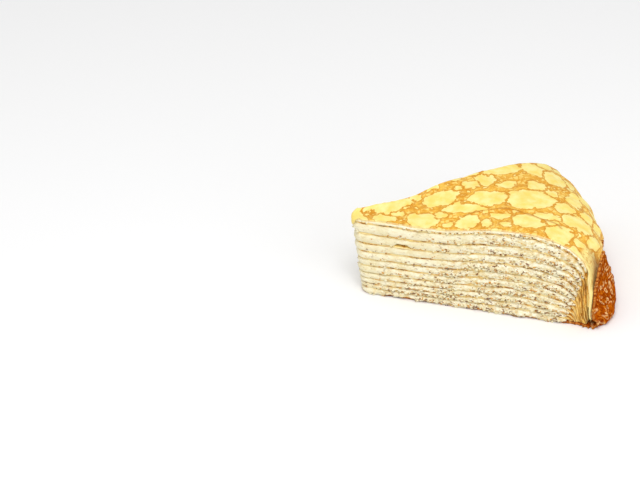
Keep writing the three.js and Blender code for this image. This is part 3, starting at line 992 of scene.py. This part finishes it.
def draped_tip(under, over, shares):
    """Adds rows to the top crepe that bend down over the tip; also how far along each row is."""
    turn = nose_turn(shares)
    aside = np.stack([np.cos(turn), np.sin(turn), turn * 0], axis=-1)
    middle, half = (under[0] + over[0]) / 2, CREPE / 2
    reach = DRAPE_LENGTH * smoothstep(shares, 0.05, 0.4) * smoothstep(shares, 1, 0.85) + DRAPE_LEAST
    reach = reach + reach / DRAPE_LENGTH * DRAPE_RAGGED * bumps(aside * 4, 1.5, 64)
    lower, upper, along = [], [], []
    for t in np.linspace(1, 0, DRAPE_ROWS, endpoint=False):
        length = reach * t
        bent = np.minimum(length / DRAPE_BEND, math.pi / 2)
        drop = DRAPE_BEND * (1 - np.cos(bent)) + length - DRAPE_BEND * bent
        normal = np.sin(bent)[:, None] * aside + np.cos(bent)[:, None] * (0, 0, 1)
        centre = middle + aside * (DRAPE_BEND * np.sin(bent))[:, None] - drop[:, None] * (0, 0, 1)
        lower.append(centre - half * normal)
        upper.append(centre + half * normal)
        along.append(length)
    return np.concatenate([lower, under]), np.concatenate([upper, over]), np.array(along)


CREAM_LEVELS = [0, 0.05, 0.12, 0.22, 0.35, 0.5, 0.65, 0.78, 0.88, 0.95, 1]
THIN_CREAM_LEVELS = [0, 0.08, 0.22, 0.5, 0.78, 0.92, 1]
THIN_CREAM = 1.5  # thinner layers get fewer rows


def make_cream(crepe, material):
    shares = np.linspace(0, 1, INNER_COLUMNS)
    face = 2 * crepe + 1
    bend_length = RIM_RADIUS - BEND_START + face_heights[face] * 0.4
    under, over = (place(*face_grid(face + i, shares, bend_length, False)) for i in (0, 1))
    levels = THIN_CREAM_LEVELS if CREAM[crepe] < THIN_CREAM else CREAM_LEVELS
    lowest = crepe == 0
    wall = cream_wall(CREAM[crepe], lowest)
    crumbs = crumbs_for(100 + crepe, lowest)
    name = f"cream_{crepe + 1:02d}"
    values = {"torn": roughness_of_cut(under)}
    piece = layer_mesh(name + "_layer", under, over, levels, wall, values, crumbs)
    add_piece(piece, name, material)


TURN_RADIUS = 1.6
FLAT_SPACING = 0.8
FOLD_ROWS = 56
BASE_COLUMNS = 171
FRONT_SHARE = 0.18  # of the wedge, with finer columns
FRONT_COLUMNS = 50
FOLD_DRAWN = 0.03  # share of the wedge by which its front edge is drawn back
FOLD_DRAWN_REACH = 0.06
FOLD_DRAWN_FROM = (5, 19)
FOLD_DRAWN_TO = (32, 25)
FOLD_TORN = ((0.9, 5, 71), (0.5, 1.6, 72))
WRINKLES = ((0.5, (6, 9, 9), 73), (0.35, (2.6, 4, 4), 74), (0.2, (1.3, 1.6, 2), 75))
WRINKLE_STAND = 0.15


def base_centre(shares):
    """Radii and heights of the middle of the base crepe: flat, turned up, standing."""
    half = BASE_CREPE / 2
    foot = fold_radius(shares, BASE_CREPE + TURN_RADIUS) + half
    line = np.stack([shares * RIM_LENGTH, shares * 0, shares * 0], axis=-1)
    edge = rough(line, FOLD_TORN, fold_edge(shares))
    radii, heights = [], []
    for t in np.linspace(0, 1, int(RIM_RADIUS / FLAT_SPACING)):
        radii.append(TIP_RADIUS + (foot - TURN_RADIUS - TIP_RADIUS) * t)
        heights.append(np.full_like(shares, half))
    for angle in np.linspace(0, math.pi / 2, 6)[1:]:
        radii.append(foot - TURN_RADIUS + TURN_RADIUS * math.sin(angle))
        heights.append(np.full_like(shares, half + TURN_RADIUS * (1 - math.cos(angle))))
    for t in np.linspace(0, 1, FOLD_ROWS)[1:]:
        height = half + TURN_RADIUS + (edge - half - TURN_RADIUS) * t
        loose_lip = 0.2 * smoothstep(t, 0.75, 1) * (1 + bumps(line, 6, 76))
        radii.append(fold_radius(shares, height) + half + loose_lip)
        heights.append(height)
    return np.array(radii), np.array(heights)


def make_base_crepe(material):
    """The dark crepe: flat under the slice, turned up at the rim and standing round the skirt."""
    front = np.linspace(0, FRONT_SHARE, FRONT_COLUMNS)
    rest = np.linspace(FRONT_SHARE, 1, BASE_COLUMNS - FRONT_COLUMNS + 1)[1:]
    shares = np.concatenate([front, rest])
    radii, heights = base_centre(shares)
    grid_shares = np.broadcast_to(shares, radii.shape)
    # Wrinkles push the standing part in and out, less at its foot and at the cut faces.
    spots = np.stack([grid_shares * RIM_LENGTH, heights, heights * 0], axis=-1)
    free = smoothstep(heights, 2, 7) * smoothstep(np.minimum(grid_shares, 1 - grid_shares), 0, 0.08)
    radii = radii + free * (rough(spots, WRINKLES) + WRINKLE_STAND)
    slope_r, slope_z = np.gradient(radii, axis=0), np.gradient(heights, axis=0)
    length = np.maximum(np.hypot(slope_r, slope_z), 1e-6)
    aside, upwards = -slope_z / length * BASE_CREPE / 2, slope_r / length * BASE_CREPE / 2
    sheet = developed(radii, grid_shares, heights)
    # Its front edge is drawn back between two heights, where the top crepe's point shows.
    drawn = FOLD_DRAWN * smoothstep(heights, *FOLD_DRAWN_FROM) * smoothstep(heights, *FOLD_DRAWN_TO)
    grid_shares = grid_shares + drawn * np.exp(-grid_shares / FOLD_DRAWN_REACH)
    under = place(radii - aside, grid_shares, np.maximum(heights - upwards, 0), False)
    over = place(radii + aside, grid_shares, heights + upwards, False)
    add_crepe(0, under, over, {"sheet": sheet}, material)


top_look = top_crepe_material()
inner_look = inner_crepe_material()
cream_look = cream_material()
make_base_crepe(base_crepe_material())
for crepe in range(1, TOP_CREPE):
    make_inner_crepe(crepe, inner_look)
make_top_crepe(top_look)
for crepe in range(TOP_CREPE):
    make_cream(crepe, cream_look)

# -------- floor, light, camera


FLOOR_REACH = 3.0
FLOOR_DROP = 0.0002  # keeps it clear of the slice's underside


def make_floor():
    mesh = bpy.data.meshes.new("floor")
    signs = (-1, -1), (1, -1), (1, 1), (-1, 1)
    corners = [(x * FLOOR_REACH, y * FLOOR_REACH, 0) for x, y in signs]
    mesh.from_pydata(corners, [], [(0, 1, 2, 3)])
    floor = add_object("floor", mesh)
    floor.location.z = -FLOOR_DROP
    look = Look("floor")
    mesh.materials.append(look.finish((0.97, 0.97, 0.97, 1), 0.8))


def add_light(name, azimuth, elevation, distance, size, power):
    """A square soft light that looks at the slice."""
    data = bpy.data.lights.new(name, "AREA")
    data.size = size
    data.energy = power
    light = add_object(name, data)
    direction = sight(azimuth, elevation)
    light.location = direction * distance
    light.rotation_mode = "QUATERNION"
    light.rotation_quaternion = direction.to_track_quat("Z", "Y")


def sight(azimuth, elevation):
    """Unit vector from the slice towards a viewer; azimuth 0 is in front of the cut face."""
    a, e = math.radians(azimuth), math.radians(elevation)
    return Vector((math.sin(a) * math.cos(e), -math.cos(a) * math.cos(e), math.sin(e)))


# Name, azimuth, elevation, distance, size and power.
LIGHTS = [("key", 14, 58, 1.1, 0.5, 4.8), ("left", -45, 40, 1.2, 0.9, 1.4),
          ("right", 58, 28, 1.2, 0.9, 3), ("top", 10, 85, 1.2, 0.9, 2)]
STUDIO_LIGHT = 0.5

CAMERA_AZIMUTH = 13.4
CAMERA_ELEVATION = 31.85
CAMERA_DISTANCE = 0.85
CAMERA_TARGET = Vector((-0.001, -0.004, 0.018))
CAMERA_TURN = (-0.19, 4.85, 1.01)  # pitch, yaw and roll that put the slice right of the middle
CAMERA_LENS = 117.2


def make_camera():
    data = bpy.data.cameras.new("camera")
    data.lens = CAMERA_LENS
    data.sensor_width = 36
    camera = add_object("camera", data)
    back = sight(CAMERA_AZIMUTH, CAMERA_ELEVATION)
    azimuth = math.radians(CAMERA_AZIMUTH)
    right = Vector((math.cos(azimuth), math.sin(azimuth), 0))
    facing = Matrix((right, back.cross(right), back)).transposed()
    pitch, yaw, roll = map(math.radians, CAMERA_TURN)
    facing = facing @ Matrix.Rotation(roll, 3, "Z") @ Matrix.Rotation(yaw, 3, "Y")
    facing = facing @ Matrix.Rotation(pitch, 3, "X")
    stand = Matrix.Translation(CAMERA_TARGET + back * CAMERA_DISTANCE)
    camera.matrix_world = stand @ facing.to_4x4()
    bpy.context.scene.camera = camera


make_floor()
make_camera()
for light in LIGHTS:
    add_light(*light)

scene = bpy.context.scene
scene.view_settings.view_transform = "Standard"
world = bpy.data.worlds.new("studio")
world.use_nodes = True
background = world.node_tree.nodes["Background"]
background.inputs["Color"].default_value = (1, 1, 1, 1)
background.inputs["Strength"].default_value = STUDIO_LIGHT
scene.world = world
